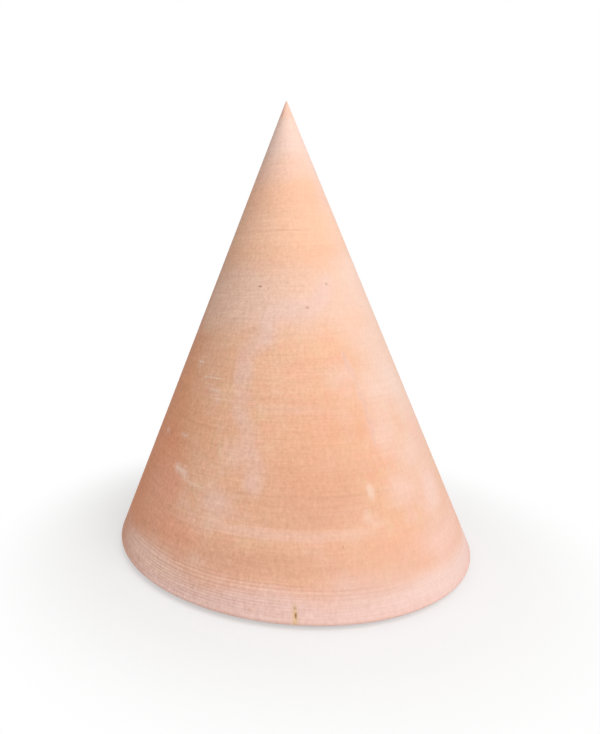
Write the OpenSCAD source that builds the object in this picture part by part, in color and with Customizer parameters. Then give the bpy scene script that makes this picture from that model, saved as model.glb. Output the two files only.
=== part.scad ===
// Terracotta tagine: a straight-sided conical lid that caps a shallow footed dish.
// Millimetres. +Z is up, and the origin is at the centre of the dish's foot, on the table.
// Both pieces are turned on one axis, so each is a single outline spun round Z.

/* [Lid] */
// Diameter of the lid across its rim
lid_d = 270; // [240:5:340]
// Height of the lid, from the edge of its rim to its tip
lid_h = 340; // [280:5:420]
// Thickness of the lid's wall, square to its surface
lid_wall = 7; // [5:0.5:10]
// Radius of the point at the tip
tip_r = 0.6; // [0.4:0.1:4]
// Radius of the hollow inside the peak, where the potter's finger closed it
peak_hollow_r = 9; // [4:1:14]
// Roundness of the rim's two edges
rim_round = 2.2; // [0.5:0.1:2.4]
// Gap left under the rim, so that the lid bears on the dish and not on the table
table_gap = 3; // [1:0.5:8]

/* [Combed band] */
// Number of combed lines round the rim
comb_lines = 8; // [4:1:10]
// Distance from one combed line to the next, along the wall
comb_pitch = 1.7; // [1.2:0.1:2.4]
// Depth of a combed line
comb_depth = 0.3; // [0.1:0.05:0.6]
// Plain margin between the rounded edge of the rim and the first line
comb_margin = 0.6; // [0.2:0.1:6]

/* [Seat] */
// Clearance between the edge of the dish and the wall of the lid
rim_gap = 2; // [1:0.5:5]
// Clearance between the lid's flange and the inside of the dish
flange_gap = 1.5; // [0.8:0.1:4]
// Depth that the flange reaches down into the dish
flange_drop = 6; // [3:0.5:10]
// Thickness of the flange at its lower edge
flange_wall = 6; // [4:0.5:9]
// Thickness of the seat above the inner edge of the flange
seat_wall = 5; // [4:0.5:9]
// Slope of the seat's upper side, which sheds the condensed steam into the dish
seat_slope = 30; // [15:1:45]

/* [Dish] */
// Height of the dish
dish_h = 44; // [36:1:60]
// Thickness of the dish's wall at its edge
dish_wall = 8; // [6:0.5:11]
// Thickness of the dish's floor
dish_floor = 9; // [6:0.5:13]
// Slope of the dish's side, out from upright
dish_flare = 27; // [15:1:35]
// Roundness inside, between the floor and the side
bowl_round = 24; // [8:1:30]
// Roundness outside, between the underside and the side
belly_round = 30; // [8:1:36]
// Roundness of the dish's edge
edge_round = 2; // [0.5:0.1:2.4]

/* [Foot] */
// Diameter of the turned foot ring
foot_d = 132; // [100:2:150]
// Width of the foot ring
foot_w = 9; // [6:0.5:14]
// Height of the foot ring
foot_h = 3.5; // [2:0.5:6]
// Roundness of the foot ring's edges
foot_round = 1.2; // [0.3:0.1:1.8]

/* [Hidden] */

clay = [0.93, 0.73, 0.61];
$fn = 144;
arc_step = 6;       // most degrees that one step of an arc turns
crease_round = 1.5; // inside corners that a finger or a sponge has softened

// The lid's side is the straight line that touches the round of the rim and that of the tip
rim_z = table_gap;
tip_z = rim_z + lid_h;
side_run = lid_d / 2 - rim_round;
side_rise = lid_h - rim_round - tip_r;
// Slope of the side from the upright
cone_slope = atan(side_run / side_rise) + asin((rim_round - tip_r) / norm([side_run, side_rise]));
// Heights at which the sides would meet in a sharp point, outside and inside
peak_z = tip_z - tip_r + tip_r / sin(cone_slope);
hollow_peak_z = peak_z - lid_wall / sin(cone_slope);
// Length of wall that the rim's round takes up
rim_reach = rim_round / tan((90 - cone_slope) / 2);

// Radius of the lid's outside and of its inside at a height
function lid_out(z) = (peak_z - z) * tan(cone_slope);
function lid_in(z) = (hollow_peak_z - z) * tan(cone_slope);

// The seat is flat and lies face to face on the edge of the dish
seat_z = dish_h;
dish_r = lid_in(seat_z) - rim_gap;

// Radius of the inside and the outside of the dish's flaring side at a height
function dish_in(z) = dish_r - dish_wall - (dish_h - z) * tan(dish_flare);
function dish_out(z) = dish_r - (dish_h - z) * tan(dish_flare);

flange_z = seat_z - flange_drop;
flange_r = dish_in(flange_z) - flange_gap;
flange_hole_r = flange_r - flange_wall;
floor_z = foot_h + dish_floor;

// The sloping upper side of the seat starts over the flange's hole and ends on the lid's wall
shelf_z = seat_z + seat_wall;
shelf_run = (lid_in(shelf_z) - flange_hole_r) / (1 + tan(seat_slope) * tan(cone_slope));
shelf_back_z = shelf_z + shelf_run * tan(seat_slope);

function unit(v) = v / norm(v);
function at(path, i) = [path[i].x, path[i].y];

// Points on an arc from one angle to another
function arc(centre, r, from, to) =
    let (steps = ceil(abs(to - from) / arc_step))
    [for (i = [0 : steps])
        let (a = from + (to - from) * i / steps)
        centre + r * [cos(a), sin(a)]];

// Half of the angle between the two edges that meet at corner i
function half_angle(path, i) =
    let (back = unit(at(path, i - 1) - at(path, i)), on = unit(at(path, i + 1) - at(path, i)))
    acos(max(-1, min(1, back * on))) / 2;

// How far from corner i its rounding begins, if there is room
function wanted(path, i) =
    i == 0 || i == len(path) - 1 || path[i].z == 0 ? 0 : path[i].z / tan(half_angle(path, i));

// The same, shared with the next corners where an edge is too short for both
function reach(path, i) =
    let (
        back = norm(at(path, i - 1) - at(path, i)) / max(1e-6, wanted(path, i - 1) + wanted(path, i)),
        on = norm(at(path, i + 1) - at(path, i)) / max(1e-6, wanted(path, i) + wanted(path, i + 1))
    )
    wanted(path, i) * min(1, back, on);

// Corner i of a path, as its point or as the arc that rounds it
function corner(path, i) =
    wanted(path, i) == 0 ? [at(path, i)] :
    let (
        p = at(path, i),
        half = half_angle(path, i),
        back = unit(at(path, i - 1) - p),
        on = unit(at(path, i + 1) - p),
        r = reach(path, i) * tan(half),
        centre = p + unit(back + on) * r / sin(half),
        spoke = p + back * reach(path, i) - centre,
        start = atan2(spoke.y, spoke.x),
        turn = sign(cross(on, back)) * (180 - 2 * half)
    )
    arc(centre, r, start, start + turn);

// A path of [radius, height, roundness] corners with every corner rounded, open at both ends
function rounded(path) = [for (i = [0 : len(path) - 1]) each corner(path, i)];

function tail(points) = [for (i = [1 : len(points) - 1]) points[i]];

// A place on the lid's outer wall, so far up from its rim
function on_side(up) = [lid_out(rim_z) - up * sin(cone_slope), rim_z + up * cos(cone_slope)];

// The combed lines: V-shaped notches in the lid's outer wall, from the top one down
function combed_band() =
    let (inward = [-cos(cone_slope), -sin(cone_slope)], half_notch = 0.4 * comb_pitch)
    [for (line = [comb_lines - 1 : -1 : 0])
        let (mid = rim_reach + comb_margin + (line + 0.5) * comb_pitch)
        each [on_side(mid + half_notch), on_side(mid) + inward * comb_depth, on_side(mid - half_notch)]];

// Half section of the lid: down the outside, round the rim, and up the inside
function lid_section() =
    let (
        tip = arc([0, tip_z - tip_r], tip_r, 90, cone_slope),
        peak = arc([0, hollow_peak_z - peak_hollow_r / sin(cone_slope)], peak_hollow_r, cone_slope, 90),
        band_end = on_side(rim_reach + comb_margin)
    )
    concat(tip, combed_band(), rounded([
        [band_end.x, band_end.y, 0],
        [lid_out(rim_z), rim_z, rim_round],
        [lid_in(rim_z), rim_z, rim_round],
        [lid_in(seat_z), seat_z, crease_round],
        [dish_in(seat_z) - flange_gap, seat_z, crease_round / 2],
        [flange_r, flange_z, flange_wall / 2.5],
        [flange_hole_r, flange_z, flange_wall / 2.5],
        [flange_hole_r, shelf_z, seat_wall / 2],
        [lid_in(shelf_back_z), shelf_back_z, 4 * crease_round],
        [peak[0].x, peak[0].y, 0]
    ]), tail(peak));

// Half section of the dish: out along the underside, round the edge, and back along the floor
function dish_section() = rounded([
    [0, foot_h, 0],
    [foot_d / 2 - foot_w, foot_h, crease_round],
    [foot_d / 2 - foot_w, 0, foot_round],
    [foot_d / 2, 0, foot_round],
    [foot_d / 2, foot_h, crease_round],
    [dish_out(foot_h), foot_h, belly_round],
    [dish_r, dish_h, edge_round],
    [dish_r - dish_wall, dish_h, edge_round],
    [dish_in(floor_z), floor_z, bowl_round],
    [0, floor_z, 0]
]);

module conical_lid() {
    color(clay)
        rotate_extrude()
            polygon(lid_section());
}

module cooking_dish() {
    color(clay)
        rotate_extrude()
            polygon(dish_section());
}

conical_lid();
cooking_dish();
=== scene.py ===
from itertools import accumulate
from math import asin, atan, ceil, copysign, cos, hypot, pi, radians, sin, tan

import bpy
from mathutils import Euler, Matrix, Vector


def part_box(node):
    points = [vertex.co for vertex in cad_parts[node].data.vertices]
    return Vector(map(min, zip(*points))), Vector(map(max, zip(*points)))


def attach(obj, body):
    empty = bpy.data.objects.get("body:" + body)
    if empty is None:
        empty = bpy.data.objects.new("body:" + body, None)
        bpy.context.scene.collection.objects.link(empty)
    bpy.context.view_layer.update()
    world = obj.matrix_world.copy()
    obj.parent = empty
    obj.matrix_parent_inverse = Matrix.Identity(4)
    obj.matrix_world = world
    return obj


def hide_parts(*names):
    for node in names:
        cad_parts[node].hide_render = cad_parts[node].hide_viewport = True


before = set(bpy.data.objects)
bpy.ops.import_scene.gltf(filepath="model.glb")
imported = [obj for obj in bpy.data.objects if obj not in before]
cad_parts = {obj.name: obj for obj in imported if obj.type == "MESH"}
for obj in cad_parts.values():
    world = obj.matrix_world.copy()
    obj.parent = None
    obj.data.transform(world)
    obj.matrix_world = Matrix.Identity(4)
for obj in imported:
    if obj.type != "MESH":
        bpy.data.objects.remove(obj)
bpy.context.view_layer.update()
scene = bpy.context.scene

# --- Camera ---------------------------------------------------------------------------------
# Stands at arm's length in front of the pot, a little above its middle, and is turned past it.
# Only one side of its wide view is kept, which is what the shift does.
camera_place = Vector((0, -0.4572, 0.2095))
camera_pan = radians(9.25)
camera_tilt = radians(-4.25)
camera_roll = radians(-0.85)

camera_data = bpy.data.cameras.new("camera")
camera_data.lens = 27.79
camera_data.sensor_width = 36
camera_data.shift_x = 0.1431
camera_data.shift_y = -0.0681
camera_data.clip_start = 0.01
camera = bpy.data.objects.new("camera", camera_data)
scene.collection.objects.link(camera)
level_turn = Euler((radians(90) + camera_tilt, 0, camera_pan)).to_matrix()
camera_turn = (level_turn @ Matrix.Rotation(camera_roll, 3, "Z")).to_4x4()
camera.matrix_world = Matrix.Translation(camera_place) @ camera_turn
scene.camera = camera


# --- Cooking dish ---------------------------------------------------------------------------
# A shallow dish of bare red earthenware that holds the food. It was thrown on a wheel as one
# piece and turned over to cut its foot ring. Its flat edge carries the lid.
dish_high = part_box("cooking_dish")[1]
dish_wall = 0.008
dish_floor = 0.009
dish_flare = radians(27)
dish_edge_round = 0.002
# Where the side would meet the top of the edge if that corner were sharp.
dish_radius = dish_high.x + dish_edge_round * (tan(dish_flare) + 1 / cos(dish_flare) - 1)
bowl_round = 0.024
belly_round = 0.030
foot_radius = 0.066
foot_width = 0.009
foot_height = 0.0035
foot_round = 0.0012
crease_round = 0.0015
dish_pale = (0.84, 0.50, 0.35)
dish_deep = (0.72, 0.38, 0.24)


def rounded(corners):
    """The path through (radius, height, roundness, spacing) corners.

    Each corner is rounded, and the straight run after it has points one spacing apart.
    """
    path = []
    spacing = 0
    for index, (radius, height, roundness, next_spacing) in enumerate(corners):
        here = Vector((radius, height))
        turn_points = [here]
        if roundness:
            back = (Vector(corners[index - 1][:2]) - here).normalized()
            on = (Vector(corners[index + 1][:2]) - here).normalized()
            half = back.angle(on) / 2
            centre = here + (back + on).normalized() * roundness / sin(half)
            spoke = here + back * roundness / tan(half) - centre
            turn_points = arc(centre, spoke, copysign(pi - 2 * half, on.cross(back)))
        if path:
            path += run(path[-1], turn_points[0], spacing)
        path += turn_points
        spacing = next_spacing
    return path


def arc(centre, spoke, turn, step=radians(9)):
    steps = ceil(abs(turn) / step)
    return [centre + Matrix.Rotation(turn * count / steps, 2) @ spoke for count in range(steps + 1)]


def run(start, end, spacing):
    """The points between two ends of a straight run, without the ends."""
    steps = max(1, round((end - start).length / spacing))
    return [start.lerp(end, count / steps) for count in range(1, steps)]


class Field:
    """A value that varies over a piece: an output socket in a node tree."""

    def __init__(self, tree, socket=None):
        self.tree, self.socket = tree, socket

    def node(self, kind, settings=(), sockets=(), out=0):
        """Adds a node of a kind, with its settings and then the values or links of its sockets."""
        node = self.tree.nodes.new(kind)
        for name, value in dict(settings).items():
            setattr(node, name, value)
        for name, value in dict(sockets).items():
            if isinstance(value, Field):
                self.tree.links.new(value.socket, node.inputs[name])
            elif node.inputs[name].type == "RGBA":
                node.inputs[name].default_value = (*value, 1)
            else:
                node.inputs[name].default_value = value
        return Field(self.tree, node.outputs[out] if node.outputs else None)

    def math(self, operation, *values):
        return self.node("ShaderNodeMath", {"operation": operation}, dict(enumerate(values)))

    def vector(self, operation, *values, out=0):
        return self.node("ShaderNodeVectorMath", {"operation": operation}, dict(enumerate(values)), out)

    def __add__(self, other):
        return self.math("ADD", self, other)

    def __sub__(self, other):
        return self.math("SUBTRACT", self, other)

    def __mul__(self, other):
        return self.math("MULTIPLY", self, other)

    def __truediv__(self, other):
        return self.math("DIVIDE", self, other)

    def __rsub__(self, other):
        return self.math("SUBTRACT", other, self)

    def __rtruediv__(self, other):
        return self.math("DIVIDE", other, self)

    def __or__(self, other):
        """The larger of the two, which joins one mark to another."""
        return self.math("MAXIMUM", self, other)

    __radd__, __rmul__, __ror__ = __add__, __mul__, __or__

    def part(self, axis):
        return self.node("ShaderNodeSeparateXYZ", (), {"Vector": self}, out="XYZ".index(axis))

    def ramp(self, low, high, to_low=0, to_high=1, shape="SMOOTHSTEP"):
        """Goes from to_low to to_high as the value goes from low to high."""
        ends = {"Value": self, "From Min": low, "From Max": high, "To Min": to_low, "To Max": to_high}
        # A smooth step is clamped as it is, and a clamp would be one more value to keep.
        settings = {"interpolation_type": shape, "clamp": shape == "LINEAR"}
        return self.node("ShaderNodeMapRange", settings, ends)

    def mix(self, one, other):
        """One colour turning into the other as this goes from 0 to 1."""
        sockets = {0: self, 6: one, 7: other}
        return self.node("ShaderNodeMix", {"data_type": "RGBA"}, sockets, out=2)

    def marked(self, marks):
        """This colour made paler where marks are above 0, and darker and redder below."""
        shade = {"X": 1 + marks * 0.75, "Y": 1 + marks * 1.1, "Z": 1 + marks * 1.35}
        return self.vector("MULTIPLY", self, self.node("ShaderNodeCombineXYZ", (), shade))

    def noise(self, scale=(1, 1, 1), detail=2, roughness=0.5, seed=0):
        """Noise from 0 to 1 on this place, with so many lumps to the metre along each axis."""
        spread = self.vector("MULTIPLY", self, scale)
        sockets = {"Vector": spread, "W": seed, "Scale": 1, "Detail": detail, "Roughness": roughness}
        return self.node("ShaderNodeTexNoise", {"noise_dimensions": "4D"}, sockets)

    def stored(self, name, kind="FLOAT"):
        """What the attribute of this name holds, in a Geometry Nodes tree."""
        return self.node("GeometryNodeInputNamedAttribute", {"data_type": kind}, {"Name": name})

    def store(self, name, value, kind="FLOAT"):
        """This geometry with the value kept in an attribute."""
        sockets = {"Geometry": self, "Name": name, "Value": value}
        return self.node("GeometryNodeStoreNamedAttribute", {"data_type": kind}, sockets)


def begin_tree(name, sockets):
    """A Geometry Nodes tree with these named inputs, and a field for each of them."""
    tree = bpy.data.node_groups.new(name, "GeometryNodeTree")
    for socket, kind in sockets.items():
        tree.interface.new_socket(socket, in_out="INPUT", socket_type="NodeSocket" + kind)
    tree.interface.new_socket("Geometry", in_out="OUTPUT", socket_type="NodeSocketGeometry")
    return tree, {socket: Field(tree).node("NodeGroupInput", out=socket) for socket in sockets}


def end_tree(made, clay):
    """Turns the geometry into plain faces of this clay, and gives them out."""
    real = made.node("GeometryNodeRealizeInstances", (), {"Geometry": made})
    fired = made.node("GeometryNodeSetMaterial", (), {"Geometry": real, "Material": clay})
    made.node("NodeGroupOutput", (), {"Geometry": fired})


def wheel_tree():
    """Spins a half section round Z, and leaves the low ridges that the potter's fingers leave."""
    tree, given = begin_tree("potters_wheel", {
        "Half Section": "Geometry",
        "Steps Round": "Int",
        "Close-up At": "Float",
        "Close-up Width": "Float",
        "Close-up Share": "Float",
        "Ridge Height": "Float",
        "Ridge Spacing": "Float",
        "Seed": "Float",
        "Clay": "Material",
    })
    section = given["Half Section"]
    points = section.node("GeometryNodeAttributeDomainSize", (), {"Geometry": section})
    sizes = {"Size X": 1, "Size Y": 1, "Vertices X": points, "Vertices Y": given["Steps Round"] + 1}
    sheet = section.node("GeometryNodeMeshGrid", (), sizes)
    position = section.node("GeometryNodeInputPosition")
    row = section.math("ROUND", (position.part("X") + 0.5) * (points - 1))
    share = position.part("Y") + 0.5

    def from_section(value, index, kind="FLOAT"):
        sockets = {"Geometry": section, "Value": value, "Index": index}
        return section.node("GeometryNodeSampleIndex", {"data_type": kind, "clamp": True}, sockets)

    here, ahead, behind = (
        from_section(position, row + step, "FLOAT_VECTOR") for step in (0, 1, -1)
    )
    radius, height = here.part("X"), here.part("Z")
    along = from_section(section.stored("along"), row)
    run_out = ahead.part("X") - behind.part("X")
    run_up = ahead.part("Z") - behind.part("Z")
    run_length = section.math("SQRT", run_out * run_out + run_up * run_up)
    facing_out, facing_up = -1 * run_up / run_length, run_out / run_length

    # The steps round are closer together in the close-up, which takes its share of them.
    close_up = given["Close-up Share"]
    width = given["Close-up Width"]
    turn = (
        given["Close-up At"]
        + share.ramp(0, close_up, -1 * width, width, "LINEAR")
        + share.ramp(close_up, 1, 0, 2 * pi - 2 * width, "LINEAR")
    )
    sine, cosine = section.math("SINE", turn), section.math("COSINE", turn)
    level = {"X": sine * 0.5, "Y": cosine * 0.5, "Z": along / given["Ridge Spacing"]}
    wheel_place = section.node("ShaderNodeCombineXYZ", (), level)
    ridges = wheel_place.noise(detail=1, seed=given["Seed"]) - 0.5
    lift = ridges * 2 * given["Ridge Height"] * from_section(section.stored("ridged"), row)
    out = radius + lift * facing_out
    place = {"X": out * sine, "Y": out * cosine * -1, "Z": height + lift * facing_up}
    spun_place = section.node("ShaderNodeCombineXYZ", (), place)
    outward = {"X": facing_out * sine, "Y": facing_out * cosine * -1, "Z": facing_up}
    facing = section.node("ShaderNodeCombineXYZ", (), outward)

    made = sheet.store("up_wall", from_section(section.stored("up_wall"), row))
    made = made.store("facing", facing, "FLOAT_VECTOR")
    made = made.node("GeometryNodeSetPosition", (), {"Geometry": made, "Position": spun_place})
    made = made.node("GeometryNodeMergeByDistance", (), {"Geometry": made, "Distance": 1e-6})
    made = made.node("GeometryNodeSetShadeSmooth", (), {"Geometry": made})
    end_tree(made, given["Clay"])
    return tree


def thrown(name, path, ridged, up_wall, steps):
    """A plain mesh object from a half section and the trees that work on it, in turn."""
    mesh = bpy.data.meshes.new(name + "_section")
    mesh.from_pydata([(point.x, 0, point.y) for point in path], [], [])
    lengths = [(end - start).length for start, end in zip(path, path[1:])]
    for attribute, values in {
        "along": list(accumulate(lengths, initial=0)),
        "ridged": [ridged(point) for point in path],
        "up_wall": [up_wall(point) for point in path],
    }.items():
        mesh.attributes.new(attribute, "FLOAT", "POINT").data.foreach_set("value", values)
    section = bpy.data.objects.new(mesh.name, mesh)
    scene.collection.objects.link(section)
    for tree, values in steps:
        modifier = section.modifiers.new(tree.name, "NODES")
        modifier.node_group = tree
        for socket in tree.interface.items_tree:
            if socket.name in values:
                modifier[socket.identifier] = values[socket.name]
    evaluated = section.evaluated_get(bpy.context.evaluated_depsgraph_get())
    plain = bpy.data.meshes.new_from_object(evaluated)
    plain.materials.pop(index=0)  # the empty slot that a mesh made by nodes starts with
    piece = bpy.data.objects.new(name, plain)
    bpy.data.objects.remove(section)
    scene.collection.objects.link(piece)
    return piece


def begin_material(name):
    """A material, and the place on its piece as a field."""
    material = bpy.data.materials.new(name)
    material.use_nodes = True
    material.node_tree.nodes.clear()
    return material, Field(material.node_tree).node("ShaderNodeTexCoord", out="Object")


def clouded(place, pale, deep):
    """The uneven colour that the fire leaves on bare clay, in soft clouds and rings."""
    cloud = place.noise((11, 11, 8), detail=3, seed=1)
    rings = place.noise((2.5, 2.5, 55), detail=2, seed=2)
    return (cloud.ramp(0.3, 0.7) * 0.6 + rings.ramp(0.3, 0.7) * 0.4).mix(pale, deep)


def turned(place, strength=1.0):
    """The pale and dark marks, and the relief in metres, of clay that was turned on the wheel.

    The tool's edge leaves short and long lines round the piece, its slow feed leaves a fine
    thread here and there, its chatter leaves faint upright marks, and the clay has a grain.
    """
    long_lines = place.noise((4, 4, 300), detail=2, roughness=0.7, seed=3).ramp(0.3, 0.7) - 0.5
    fed_slowly = place.noise((8, 8, 30), detail=1, seed=9).ramp(0.5, 0.62)
    thread = (place.noise((5, 5, 850), detail=1, seed=10) - 0.5) * fed_slowly
    short_lines = place.noise((36, 36, 620), detail=3, roughness=0.75, seed=7) - 0.5
    chatter = place.noise((440, 440, 36), detail=2, roughness=0.72, seed=6) - 0.5
    grain = place.noise((480, 480, 480), detail=3, roughness=0.7, seed=5) - 0.5
    marks = long_lines * 0.018 + thread * 0.06 + short_lines * 0.18 + chatter * 0.17 + grain * 0.26
    relief = thread * 0.00004 + short_lines * 0.00008 + chatter * 0.00005 + grain * 0.0001
    return marks * strength, relief


def end_clay(colour, relief, roughness):
    """Bare clay of this colour, with this relief in metres."""
    bump = relief.node("ShaderNodeBump", (), {"Height": relief, "Distance": 1.0, "Strength": 1.0})
    sockets = {"Base Color": colour, "Roughness": roughness, "Normal": bump, "Specular IOR Level": 0.35}
    shader = relief.node("ShaderNodeBsdfPrincipled", (), sockets)
    relief.node("ShaderNodeOutputMaterial", (), {"Surface": shader})


def dish_in(height):
    """Radius of the inside of the dish's flaring side."""
    return dish_radius - dish_wall - (dish_high.z - height) * tan(dish_flare)


def dish_ridged(point):
    """Finger ridges show in the bowl and low on the side, and fade out at the bowl's middle."""
    hair = 1e-6
    smooth_edge = 0.004
    smooth_middle = 0.012
    shown = point.y > dish_floor_z - hair and point.x < dish_in(dish_high.z) - smooth_edge
    return min(1, point.x / smooth_middle) if shown else 0


dish_floor_z = foot_height + dish_floor
dish_side_foot = dish_radius - (dish_high.z - foot_height) * tan(dish_flare)
dish_path = rounded([
    (0, dish_floor_z, 0, 0.003),
    (dish_in(dish_floor_z), dish_floor_z, bowl_round, 0.002),
    (dish_radius - dish_wall, dish_high.z, dish_edge_round, 0.002),
    (dish_radius, dish_high.z, dish_edge_round, 0.002),
    (dish_side_foot, foot_height, belly_round, 0.002),
    (foot_radius, foot_height, crease_round, 0.001),
    (foot_radius, 0, foot_round, 0.003),
    (foot_radius - foot_width, 0, foot_round, 0.001),
    (foot_radius - foot_width, foot_height, crease_round, 0.003),
    (0, foot_height, 0, 0.003),
])
dish_clay, dish_place = begin_material("bare_dish_clay")
dish_marks, dish_relief = turned(dish_place)
dish_colour = clouded(dish_place, dish_pale, dish_deep)
end_clay(dish_colour.marked(dish_marks), dish_relief, roughness=0.85)

wheel = wheel_tree()
clay_dish = thrown("clay_dish", dish_path, dish_ridged, lambda point: -1, [
    (wheel, {
        "Steps Round": 160,
        "Close-up At": 0.0,
        "Close-up Width": radians(90),
        "Close-up Share": 0.5,
        "Ridge Height": 0.0003,
        "Ridge Spacing": 0.007,
        "Seed": 3.0,
        "Clay": dish_clay,
    }),
])
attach(clay_dish, "dish")
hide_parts("cooking_dish")


# --- Conical lid ----------------------------------------------------------------------------
# One tall cone of the same clay, thrown and then turned to a sharp point on the wheel, and left
# unglazed. Its rim was combed with a toothed rib, and a flanged seat inside rests on the dish.
lid_low, lid_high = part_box("conical_lid")
lid_radius = lid_high.x
rim_z, tip_z = lid_low.z, lid_high.z
lid_wall = 0.007
tip_round = 0.0006
rim_round = 0.0022
peak_hollow_round = 0.009
flange_gap = 0.0015
flange_drop = 0.006
flange_wall = 0.006
flange_round = flange_wall / 2.5
seat_wall = 0.005
seat_slope = radians(30)
comb_margin = 0.0006
fine_points = 0.019  # how far up from the rim the points lie close together, for the comb
pit_depth = 0.0006
chip_turn = 1.9  # in degrees, to the right of the front
lid_pale = (0.89, 0.52, 0.345)
lid_deep = (0.85, 0.465, 0.29)
drip_colour = (0.86, 0.58, 0.50)
lime = (0.96, 0.73, 0.60)
iron_speck_and_pit_shade = (0.42, 0.25, 0.17)

# The side is the straight line that touches the round of the rim and that of the tip.
side_run = lid_radius - rim_round
side_rise = tip_z - rim_z - rim_round - tip_round
lid_slope = atan(side_run / side_rise) + asin((rim_round - tip_round) / hypot(side_run, side_rise))
peak_z = tip_z - tip_round + tip_round / sin(lid_slope)
hollow_peak_z = peak_z - lid_wall / sin(lid_slope)
# The rim's round takes up this length of the wall, and the comb starts above it.
rim_reach = rim_round / tan((pi / 2 - lid_slope) / 2)


def lid_out(height):
    return (peak_z - height) * tan(lid_slope)


def lid_in(height):
    return (hollow_peak_z - height) * tan(lid_slope)


def up_wall(point):
    """How far up the outside of the lid a point lies from the rim, or -1 inside it."""
    outside = point.y > hollow_peak_z or point.x > (lid_out(point.y) + lid_in(point.y)) / 2
    return (point.y - rim_z) / cos(lid_slope) if outside else -1


def lid_ridged(point):
    """Finger ridges are plain inside the lid, and were turned almost away outside."""
    up = up_wall(point)
    if up < 0:
        hair = 1e-5
        smooth_seat = 0.01
        on_side = abs(point.x - lid_in(point.y)) < hair
        return 1 if on_side and point.y > seat_top_z + smooth_seat else 0
    # Outside they fade in over 40 mm above the comb, and out over 30 mm below the tip.
    left_outside = 0.12
    above_comb = (up - 0.03) / 0.04
    below_tip = (0.34 - up) / 0.03
    return left_outside * max(0, min(1, above_comb, below_tip))


seat_z = dish_high.z
flange_z = seat_z - flange_drop
flange_radius = dish_in(flange_z) - flange_gap
flange_hole = flange_radius - flange_wall
shelf_z = seat_z + seat_wall
shelf_run = (lid_in(shelf_z) - flange_hole) / (1 + tan(seat_slope) * tan(lid_slope))
seat_top_z = shelf_z + shelf_run * tan(seat_slope)
fine_top_z = rim_z + fine_points
to_side = Vector((cos(lid_slope), sin(lid_slope)))
tip_centre = Vector((0, tip_z - tip_round))
hollow_centre = Vector((0, hollow_peak_z - peak_hollow_round / sin(lid_slope)))
hollow_start = hollow_centre + to_side * peak_hollow_round
tip_arc = arc(tip_centre, Vector((0, tip_round)), lid_slope - pi / 2)
hollow_arc = arc(hollow_centre, to_side * peak_hollow_round, pi / 2 - lid_slope)
lid_path = tip_arc[:-1] + rounded([
    (*tip_arc[-1], 0, 0.0012),
    (lid_out(fine_top_z), fine_top_z, 0, 0.00028),
    (lid_out(rim_z), rim_z, rim_round, 0.001),
    (lid_in(rim_z), rim_z, rim_round, 0.003),
    (lid_in(seat_z), seat_z, crease_round, 0.002),
    (dish_in(seat_z) - flange_gap, seat_z, crease_round / 2, 0.001),
    (flange_radius, flange_z, flange_round, 0.001),
    (flange_hole, flange_z, flange_round, 0.002),
    (flange_hole, shelf_z, seat_wall / 2, 0.002),
    (lid_in(seat_top_z), seat_top_z, 4 * crease_round, 0.0035),
    (*hollow_start, 0, 0.0035),
]) + hollow_arc[1:]


def comb_tree():
    """Drags a toothed comb round the foot of a spun wall, and knocks one small chip out of it."""
    tree, given = begin_tree("toothed_comb", {
        "Spun Clay": "Geometry",
        "Comb Start": "Float",
        "Comb Spacing": "Float",
        "Comb Lines": "Float",
        "Comb Depth": "Float",
        "Comb Wander": "Float",
        "Hard Side": "Float",
        "Chip At": "Float",
        "Chip Width": "Float",
        "Chip Middle": "Float",
        "Chip Length": "Float",
        "Chip Depth": "Float",
        "Clay": "Material",
    })
    clay = given["Spun Clay"]
    place = clay.node("GeometryNodeInputPosition")
    up = clay.stored("up_wall")
    facing = clay.stored("facing", "FLOAT_VECTOR")
    turn = clay.math("ARCTAN2", place.part("X"), -1 * place.part("Y"))

    wander = (place.noise((9, 9, 9), detail=1, seed=21) - 0.5) * given["Comb Wander"] * 2
    tooth = (up + wander - given["Comb Start"]) / given["Comb Spacing"]
    groove = 0.5 - clay.math("COSINE", tooth * 2 * pi) * 0.5
    lines = given["Comb Lines"]
    in_band = tooth.ramp(-0.1, 0.1) * tooth.ramp(lines - 0.1, lines + 0.1, 1, 0)
    # The rim ran a little out of round, so the comb bit harder on two opposite sides.
    hard = clay.math("COSINE", (turn - given["Hard Side"]) * 2).ramp(-0.5, 1, 0.25, 1)
    uneven = place.noise((16, 16, 420), detail=1, seed=22).ramp(0.3, 0.6, 0.3, 1)
    combed = groove * in_band * hard * uneven

    across = (turn - given["Chip At"]) / given["Chip Width"] * 2
    along = (up - given["Chip Middle"]) / given["Chip Length"] * 2
    ragged = (place.noise((700, 700, 500), detail=2, seed=23) - 0.5) * 0.9
    chip = (clay.math("SQRT", across * across + along * along) + ragged).ramp(0.3, 1.1, 1, 0)

    depth = combed * given["Comb Depth"] + chip * given["Chip Depth"]
    back = clay.node("ShaderNodeVectorMath", {"operation": "SCALE"}, {0: facing, "Scale": -1 * depth})
    made = clay.store("combed", combed).store("chipped", chip)
    made = made.node("GeometryNodeSetPosition", (), {"Geometry": made, "Offset": back})
    end_tree(made, given["Clay"])
    return tree


lid_clay, lid_place = begin_material("bare_lid_clay")
# The marks are placed by degrees to the right of the front and millimetres above the table.
turn = lid_place.math("ARCTAN2", lid_place.part("X"), -1 * lid_place.part("Y")) * (180 / pi)
height = lid_place.part("Z") * 1000
up_wall_here, combed, chipped = (
    lid_place.node("ShaderNodeAttribute", {"attribute_name": name}, out="Fac")
    for name in ("up_wall", "combed", "chipped")
)
outside = up_wall_here.ramp(-0.5, 0)
warp = lid_place.noise((14, 14, 14), detail=3, seed=31) - 0.5
fray = lid_place.noise((160, 160, 160), detail=3, seed=32) - 0.5
spot = lid_place.node("ShaderNodeCombineXYZ", (), {"X": turn, "Y": height})
warp_both_ways = lid_place.node("ShaderNodeCombineXYZ", (), {"X": warp, "Y": warp})


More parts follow.
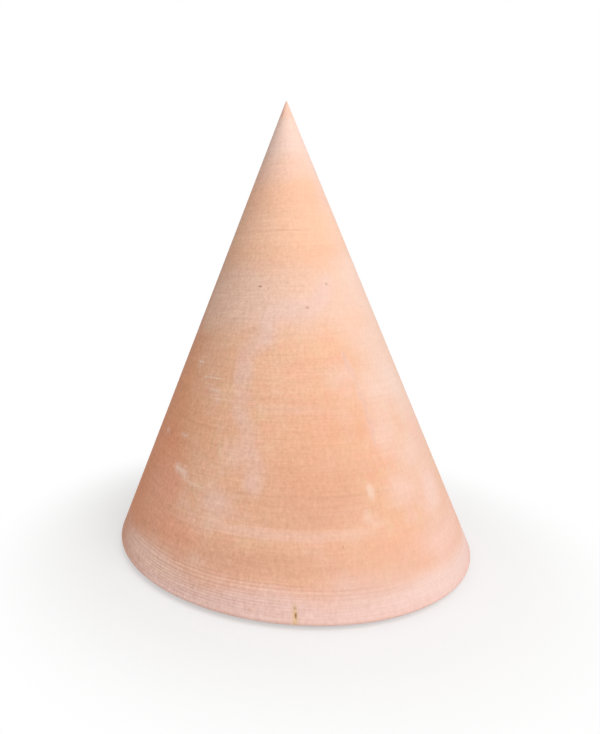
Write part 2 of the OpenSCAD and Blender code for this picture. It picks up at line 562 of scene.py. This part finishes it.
def patch(at_turn, at_height, turn_reach, height_reach, softness, strength=1.0, fraying=0.0):
    """The strength in the middle of a patch, so many degrees and millimetres across, and 0 off it."""
    warped = spot.vector("MULTIPLY_ADD", warp_both_ways, (turn_reach, height_reach, 0), spot)
    shrink = (1 / turn_reach, 1 / height_reach, 0)
    middle = (-at_turn / turn_reach, -at_height / height_reach, 0)
    off_middle = warped.vector("MULTIPLY_ADD", warped, shrink, middle)
    distance = off_middle.vector("LENGTH", off_middle, out=1)
    if fraying:
        distance = distance + fray * fraying
    return distance.ramp(1 - softness, 1, strength, 0)


def fleck(at_turn, at_height, turn_reach, height_reach, strength):
    """A small patch with a torn edge."""
    return patch(at_turn, at_height, turn_reach, height_reach, 0.9, strength, fraying=1.2)


zone_wander = 22
wandering_height = height + warp * zone_wander


def zone(low, high, softness):
    """1 between two heights all round the lid, with soft edges that wander up and down."""
    from_low = wandering_height.ramp(low - softness, low + softness)
    return from_low * wandering_height.ramp(high - softness, high + softness, 1, 0)


def on_wall(at_turn, at_height):
    """A place on the wall laid out flat, in millimetres round it and up it."""
    return Vector((radians(at_turn) * lid_out(at_height / 1000) * 1000, at_height, 0))


stroke_wander = 8
stroke_fray = 3
round_wall = turn * (pi / 180) * (peak_z * 1000 - height) * tan(lid_slope)
flat_wall = lid_place.node("ShaderNodeCombineXYZ", (), {
    "X": round_wall + (lid_place.noise((40, 40, 40), detail=2, seed=43) - 0.5) * stroke_wander,
    "Y": height + (lid_place.noise((40, 40, 40), detail=2, seed=33) - 0.5) * stroke_wander,
})
faint = lid_place.noise((50, 50, 50), detail=1, seed=44).ramp(0.3, 0.6, 0.6, 1)


def stroke(points, reach, strength):
    """The strength along a line through (turn, height) points, and 0 so many millimetres off it."""
    nearest = 1000.0  # farther off than any place on the lid
    for start, end in zip(points, points[1:]):
        step = on_wall(*end) - on_wall(*start)
        from_start = flat_wall.vector("SUBTRACT", flat_wall, on_wall(*start))
        along = from_start.vector("DOT_PRODUCT", from_start, step, out=1)
        share = along.math("MINIMUM", along / step.length_squared | 0, 1)
        closest = share.node("ShaderNodeVectorMath", {"operation": "SCALE"}, {0: step, "Scale": share})
        nearest = share.math("MINIMUM", nearest, share.vector("DISTANCE", from_start, closest, out=1))
    torn = nearest + fray * stroke_fray
    return torn.ramp(reach * 0.1, reach, strength, 0) * faint


colour = clouded(lid_place, lid_pale, lid_deep)
for seed, lumps, strength, tint in (
    (37, 46, 0.50, (0.86, 0.43, 0.27)),   # redder
    (35, 46, 0.50, (0.87, 0.56, 0.35)),   # yellower
    (38, 46, 0.40, (0.90, 0.58, 0.48)),   # pinker
    (45, 95, 0.45, (0.89, 0.44, 0.31)),
    (46, 95, 0.45, (0.85, 0.55, 0.36)),
):
    mottle = lid_place.noise((lumps, lumps, lumps), detail=3, roughness=0.6, seed=seed).ramp(0.50, 0.66)
    colour = (mottle * strength).mix(colour, tint)
inside_colour = colour
for low, high, softness, strength, tint in (
    # The foot of the wall was fired redder
    (-60, 42, 14, 0.4, (0.84, 0.47, 0.34)),
    # A pale ring, where the wet clay was left longest
    (171, 216, 14, 0.75, (0.885, 0.58, 0.445)),
    # From there to the tip the clay is orange, then paler and pinker
    (226, 292, 14, 0.75, (0.93, 0.56, 0.38)),
    (258, 276, 9, 0.40, (0.90, 0.49, 0.33)),
    (280, 296, 7, 0.60, (0.91, 0.60, 0.49)),
    (296, 331, 9, 0.90, (0.90, 0.64, 0.54)),
    (331, 400, 6, 0.90, (0.92, 0.58, 0.46)),
    # The combed band was rubbed pale
    (-60, 17, 6, 0.90, (0.875, 0.59, 0.52)),
):
    colour = (zone(low, high, softness) * strength).mix(colour, tint)
for at_turn, at_height, turn_reach, height_reach, softness, strength, tint in (
    # The side away from the fire is paler and pinker: partly the clay's own tone, and partly a painted
    # highlight where the lamp's light washes it out
    (72, 150, 56, 160, 0.9, 0.8, (0.88, 0.63, 0.52)),
    (44, 126, 16, 22, 0.9, 0.4, (0.90, 0.67, 0.59)),
    (40, 102, 13, 20, 0.9, 0.4, (0.90, 0.66, 0.59)),
    (52, 86, 14, 14, 0.9, 0.4, (0.90, 0.65, 0.57)),
    (42, 68, 13, 16, 0.9, 0.5, (0.90, 0.62, 0.54)),
    (62, 134, 14, 26, 0.9, 0.4, (0.90, 0.68, 0.60)),
    (66, 98, 12, 24, 0.9, 0.5, (0.90, 0.53, 0.41)),
    (48, 178, 22, 14, 0.9, 0.5, (0.92, 0.56, 0.40)),
    (60, 62, 12, 20, 0.9, 0.5, (0.95, 0.66, 0.60)),
    (23, 140, 12, 14, 0.9, 0.4, (0.89, 0.62, 0.51)),
    # The side next to the fire is deeper and redder: partly the clay's own flush, and partly painted
    # shade where the wall turns away from the lamp
    (-78, 70, 46, 130, 0.8, 0.95, (0.84, 0.36, 0.20)),
    (-84, 210, 24, 90, 0.9, 0.6, (0.78, 0.47, 0.35)),
    (-62, 122, 26, 54, 0.9, 0.9, (0.87, 0.40, 0.22)),
    (-43, 113, 11, 22, 0.9, 0.8, (0.87, 0.45, 0.26)),
    (-60, 84, 14, 22, 0.6, 0.7, (0.89, 0.38, 0.22)),
    (-50, 62, 16, 24, 0.9, 0.8, (0.89, 0.41, 0.27)),
    (-39, 40, 27, 18, 0.9, 0.85, (0.87, 0.40, 0.25)),
    (-36, 104, 11, 22, 0.9, 0.55, (0.87, 0.42, 0.24)),
    (-48, 80, 11, 18, 0.9, 0.5, (0.90, 0.41, 0.24)),
    (-46, 152, 14, 28, 0.9, 0.5, (0.86, 0.47, 0.30)),
    # The front has paler and deeper clouds
    (8, 62, 32, 27, 0.9, 0.9, (0.79, 0.42, 0.275)),
    (10, 98, 26, 40, 0.9, 0.6, (0.84, 0.43, 0.265)),
    (6, 80, 30, 22, 0.9, 0.45, (0.76, 0.38, 0.24)),
    (4, 142, 18, 22, 0.9, 0.5, (0.89, 0.48, 0.32)),
    (2, 121, 22, 5, 0.9, 0.4, (0.88, 0.55, 0.42)),
    (24, 162, 17, 18, 0.9, 0.4, (0.91, 0.52, 0.34)),
    (38, 42, 12, 10, 0.9, 0.5, (0.90, 0.47, 0.31)),
    (60, 34, 32, 18, 0.9, 0.8, (0.92, 0.58, 0.48)),
    (-6, 33, 34, 14, 0.9, 0.85, (0.78, 0.405, 0.265)),
    (-24, 64, 10, 15, 0.9, 0.5, (0.88, 0.58, 0.47)),
    (-19, 92, 8, 14, 0.9, 0.5, (0.90, 0.58, 0.46)),
    (-24, 190, 26, 24, 0.9, 0.3, (0.86, 0.58, 0.46)),
    # Far to the right the clay is paler, which is a painted highlight, and far to the left it is
    # deeper, partly its flush and partly painted shade where the wall turns from the lamp
    (72, 285, 40, 60, 0.9, 0.6, (0.86, 0.64, 0.56)),
    (62, 212, 26, 18, 0.9, 0.5, (0.90, 0.66, 0.54)),
    (-84, 150, 24, 90, 0.9, 0.5, (0.80, 0.38, 0.23)),
    # The combed band is paler at both sides: on the right partly a painted highlight, and on the left
    # partly painted warm light, as reflected from a hand close by
    (52, 15, 44, 12, 0.95, 0.8, (0.92, 0.67, 0.60)),
    (-48, 16, 28, 13, 0.9, 1.0, (1.0, 0.665, 0.53)),
    (22, 22, 20, 13, 0.9, 0.35, (0.80, 0.58, 0.54)),
    # The back
    (136, 100, 30, 66, 0.9, 0.6, (0.88, 0.46, 0.29)),
    (150, 58, 20, 26, 0.9, 0.5, (0.90, 0.62, 0.53)),
    (116, 150, 22, 40, 0.9, 0.5, (0.90, 0.62, 0.51)),
    (-148, 76, 26, 44, 0.9, 0.6, (0.86, 0.42, 0.26)),
    (-124, 150, 22, 44, 0.9, 0.5, (0.88, 0.59, 0.48)),
    (-136, 250, 30, 20, 0.9, 0.5, (0.90, 0.50, 0.34)),
):
    mask = patch(at_turn, at_height, turn_reach, height_reach, softness, strength)
    colour = mask.mix(colour, tint)

# A drip ran across the pale ring and wound down the wall. It left a paler, greyish trail.
drip = [
    (30, 204), (23, 193), (13, 185), (-2, 184), (-8, 181), (-11, 176), (-13, 165), (-21, 156),
    (-22, 137), (-20, 120), (-16, 107), (-15, 96), (-11, 88), (-12, 76),
]
colour = stroke(drip, 10.0, 0.55).mix(colour, drip_colour)
colour = stroke(drip[1:7], 14.0, 0.35).mix(colour, drip_colour)
side_drip = [(29, 155), (31, 147), (34, 134), (35, 121), (35, 97)]
colour = stroke(side_drip, 3.0, 0.5).mix(colour, (0.80, 0.51, 0.44))
back_drip = [(-162, 214), (-156, 190), (-160, 166), (-150, 140), (-152, 112), (-146, 92)]
colour = stroke(back_drip, 8.0, 0.5).mix(colour, drip_colour)

# Thin rings: two darker ones above the pale ring, one low on the wall, a wide pale one under it,
# and a set close together at the top of the comb. In that set the dark rings are painted shade
# between fine ridges, and the pale ones are painted highlight on them. Each fades out at its two ends.
ring_wander = 3
ring_fade = 12
ring_level = height + warp * ring_wander
for level, half_width, strength, from_turn, to_turn, tint in (
    (241, 0.7, 0.22, -90, 20, (0.72, 0.33, 0.24)),
    (229, 0.6, 0.08, -80, 40, (0.72, 0.36, 0.26)),
    (70.5, 0.8, 0.16, -12, 34, (0.66, 0.34, 0.22)),
    (49.5, 2.8, 0.40, -26, 26, (0.91, 0.59, 0.48)),
    (25.5, 0.45, 0.25, -80, -15, (0.72, 0.36, 0.27)),
    (23.4, 0.45, 0.40, -80, 5, (0.72, 0.35, 0.27)),
    (21.4, 0.45, 0.35, -80, 25, (0.74, 0.37, 0.29)),
    (19.2, 0.45, 0.25, -60, 32, (0.76, 0.40, 0.33)),
    (22.4, 0.45, 0.35, -80, -5, (0.95, 0.64, 0.53)),
    (20.3, 0.45, 0.35, -70, 10, (0.95, 0.66, 0.56)),
    (17.0, 0.40, 0.25, -40, 32, (0.78, 0.45, 0.38)),
):
    off_ring = lid_place.math("ABSOLUTE", ring_level - level)
    ring = off_ring.ramp(half_width * 0.4, half_width * 1.6, 1, 0)
    ring = ring * turn.ramp(from_turn - ring_fade, from_turn + ring_fade)
    ring = ring * turn.ramp(to_turn - ring_fade, to_turn + ring_fade, 1, 0)
    colour = (ring * strength).mix(colour, tint)

# Lime that came to the surface in firing. Most of it is rubbed into faint smears along the
# turning lines, and some lies on them in small flecks.
streaks = lid_place.noise((40, 40, 900), detail=2, roughness=0.6, seed=42).ramp(0.46, 0.60)
for smear in (
    (-38.5, 136, 11.0, 4.5, 0.75),
    (-36, 130, 9.0, 2.5, 0.60),
    (-28, 126, 16.0, 3.0, 0.40),
    (-33, 123, 4.6, 3.0, 0.40),
    (-47, 96, 4.5, 3.0, 0.60),
    (-43, 75, 5.5, 5.5, 0.60),
    (-52, 146, 5.0, 4.0, 0.70),
    (-33, 69, 8.0, 2.4, 0.35),
    (-22, 63, 8.0, 2.4, 0.30),
    (-22, 176, 14.0, 1.6, 0.40),
    (-46, 182, 12.0, 1.8, 0.35),
    (-40, 190, 14.0, 1.4, 0.25),
    (146, 96, 9.0, 4.0, 0.60),
    (124, 168, 14.0, 2.6, 0.50),
    (-134, 128, 12.0, 3.6, 0.60),
    (-166, 60, 9.0, 4.0, 0.50),
):
    colour = (fleck(*smear) * streaks).mix(colour, lime)
for bare in (
    (28.3, 71, 2.0, 8.0, 0.50),
    (26, 58, 4.0, 5.0, 0.35),
    (28, 54, 4.5, 4.0, 0.30),
    (-62.5, 93, 3.4, 3.4, 0.40),
    (-48, 96, 3.6, 2.4, 0.30),
    (-27, 28, 5.0, 6.0, 0.25),
    (158, 46, 4.0, 5.0, 0.35),
    (-128, 90, 4.0, 6.0, 0.35),
    (100, 74, 3.0, 7.0, 0.35),
):
    colour = fleck(*bare).mix(colour, lime)
colour = stroke([(-45.5, 75.5), (-40.5, 73)], 5.5, 0.45).mix(colour, lime)

# Pits where a grain burst or tore out, painted dark as painted shade in their hollows, and dark specks
# of iron in the clay.
cells = {"Vector": lid_place, "Scale": 62}
specks = lid_place.node("ShaderNodeTexVoronoi", (), cells, out="Distance").ramp(0.01, 0.05, 1, 0)
colour = (specks * 0.3).mix(colour, iron_speck_and_pit_shade)
pits = 0.0
for pit in (
    (-19, 200.5, 2.4, 0.9, 0.60),
    (-13, 199.5, 1.4, 0.9, 0.30),
    (29, 202, 1.6, 1.6, 0.40),
    (12.5, 186, 1.8, 1.4, 0.50),
    (10.8, 187.5, 0.8, 0.9, 0.25),
    (-20, 172, 1.4, 1.0, 0.45),
    (1, 203, 1.8, 0.7, 0.25),
    (-3.5, 215, 0.8, 0.8, 0.20),
    (16, 43.5, 0.35, 1.4, 0.35),
    (-46, 180, 1.2, 1.0, 0.30),
    (2, 148, 0.6, 0.8, 0.20),
    (168, 143, 1.6, 1.2, 0.45),
    (132, 204, 2.0, 1.0, 0.45),
    (112, 61, 0.8, 1.0, 0.35),
    (-138, 176, 1.8, 1.2, 0.50),
    (-158, 98, 1.2, 0.9, 0.40),
    (-112, 52, 0.8, 1.2, 0.40),
):
    pits = pits | fleck(*pit)
# The pits are painted dark: painted shade in their hollows.
colour = pits.mix(colour, iron_speck_and_pit_shade)

# The little chip in the rim has a rusty stain round it.
for at_height, turn_reach, height_reach, softness, strength, tint in (
    (8, 1.1, 8.5, 0.8, 0.8, (0.80, 0.55, 0.30)),
    (12.6, 0.5, 1.3, 0.9, 0.55, (0.48, 0.29, 0.20)),
):
    place = (chip_turn - 0.2, at_height, turn_reach, height_reach)
    colour = patch(*place, softness, strength, fraying=0.8).mix(colour, tint)
colour = chipped.mix(colour, (0.42, 0.23, 0.08))
# The comb's grooves are painted darker: painted shade in them, on top of their relief.
colour = (combed * 0.5).mix(colour, (0.68, 0.44, 0.36))
colour = outside.mix(inside_colour, colour)

# The marks of turning are strongest on the deep left side, and weaker on the pale right one and
# near the tip. Four patches have long fine lines as well.
off_deep_side = (turn + 60) * (pi / 180)
turning = off_deep_side.math("COSINE", off_deep_side).ramp(-0.2, 1, 0.8, 2.2)
lid_marks, lid_relief = turned(lid_place, turning * height.ramp(140, 240, 1, 0.8))
fine_lines = lid_place.noise((4, 4, 760), detail=1, seed=47) - 0.5
for lined in (
    (2, 130, 46, 26, 0.9, 0.20),
    (-42, 182, 40, 18, 0.9, 0.20),
    (14, 66, 40, 14, 0.9, 0.08),
    (-40, 26, 50, 10, 0.9, 0.20),
):
    lid_marks = lid_marks + fine_lines * patch(*lined)
lid_relief = lid_relief - pits * outside * pit_depth
end_clay(colour.marked(lid_marks), lid_relief, roughness=0.8)

comb = comb_tree()
clay_lid = thrown("clay_lid", lid_path, lid_ridged, up_wall, [
    (wheel, {
        "Steps Round": 160,
        "Close-up At": radians(chip_turn),
        "Close-up Width": radians(1.3),
        "Close-up Share": 0.15,
        "Ridge Height": 0.0005,
        "Ridge Spacing": 0.008,
        "Seed": 8.0,
        "Clay": lid_clay,
    }),
    (comb, {
        "Comb Start": rim_reach + comb_margin,
        "Comb Spacing": 0.0017,
        "Comb Lines": 8.0,
        "Comb Depth": 0.0003,
        "Comb Wander": 0.0003,
        "Hard Side": radians(-50),
        "Chip At": radians(chip_turn),
        "Chip Width": radians(0.7),
        "Chip Middle": 0.0063,
        "Chip Length": 0.0036,
        "Chip Depth": 0.0007,
        "Clay": lid_clay,
    }),
])
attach(clay_lid, "lid")
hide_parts("conical_lid")


# --- Table and light ------------------------------------------------------------------------
# A plain white table top and studio light: a large soft lamp from the front right, and an even
# white room. What the camera sees of the table is white, apart from the pot's own shadow.
table_half = 4.0
shadow_near = 0.13  # up to here the table shows half of the pot's shadow
shadow_far = 0.25  # and from here on it shows none
table_mesh = bpy.data.meshes.new("table_top")
table_corners = [(-1, -1), (1, -1), (1, 1), (-1, 1)]
table_points = [(x * table_half, y * table_half, 0) for x, y in table_corners]
table_mesh.from_pydata(table_points, [], [(0, 1, 2, 3)])
table_top = bpy.data.objects.new("table_top", table_mesh)
scene.collection.objects.link(table_top)

table_white, table_place = begin_material("table_white")
seen = table_place.node("ShaderNodeLightPath", out="Is Camera Ray")
white = table_place.vector("LENGTH", table_place, out=1).ramp(shadow_near, shadow_far, 0.5, 1)
paint = table_place.node("ShaderNodeBsdfDiffuse", (), {"Color": (0.9, 0.9, 0.9)})
glow = table_place.node("ShaderNodeEmission", (), {"Color": (1, 1, 1), "Strength": 1.0})
table_shader = table_place.node("ShaderNodeMixShader", (), {0: seen * white, 1: paint, 2: glow})
table_place.node("ShaderNodeOutputMaterial", (), {"Surface": table_shader})
table_mesh.materials.append(table_white)

world = bpy.data.worlds.new("white_room")
scene.world = world
world.use_nodes = True
world.node_tree.nodes.clear()
room_seen = Field(world.node_tree).node("ShaderNodeLightPath", out="Is Camera Ray")
room_gloss = room_seen.node("ShaderNodeLightPath", out="Is Glossy Ray")
room_light = 0.4
room_strength = (room_seen | room_gloss).ramp(0, 1, room_light, 1, "LINEAR")
room = room_seen.node("ShaderNodeBackground", (), {"Color": (1, 1, 1), "Strength": room_strength})
room_seen.node("ShaderNodeOutputWorld", (), {"Surface": room})

key_aim = Vector((0, 0, 0.15))
key_turn = radians(38)
key_height = radians(45)
key_distance = 1.4
key_data = bpy.data.lights.new("soft_key", "AREA")
key_data.shape = "DISK"
key_data.size = 1.4
key_data.energy = 14.8
soft_key = bpy.data.objects.new("soft_key", key_data)
scene.collection.objects.link(soft_key)
to_key = Vector((cos(key_height) * sin(key_turn), -cos(key_height) * cos(key_turn), sin(key_height)))
key_facing = (-to_key).to_track_quat("-Z", "Y").to_matrix().to_4x4()
soft_key.matrix_world = Matrix.Translation(key_aim + to_key * key_distance) @ key_facing

scene.view_settings.view_transform = "Standard"
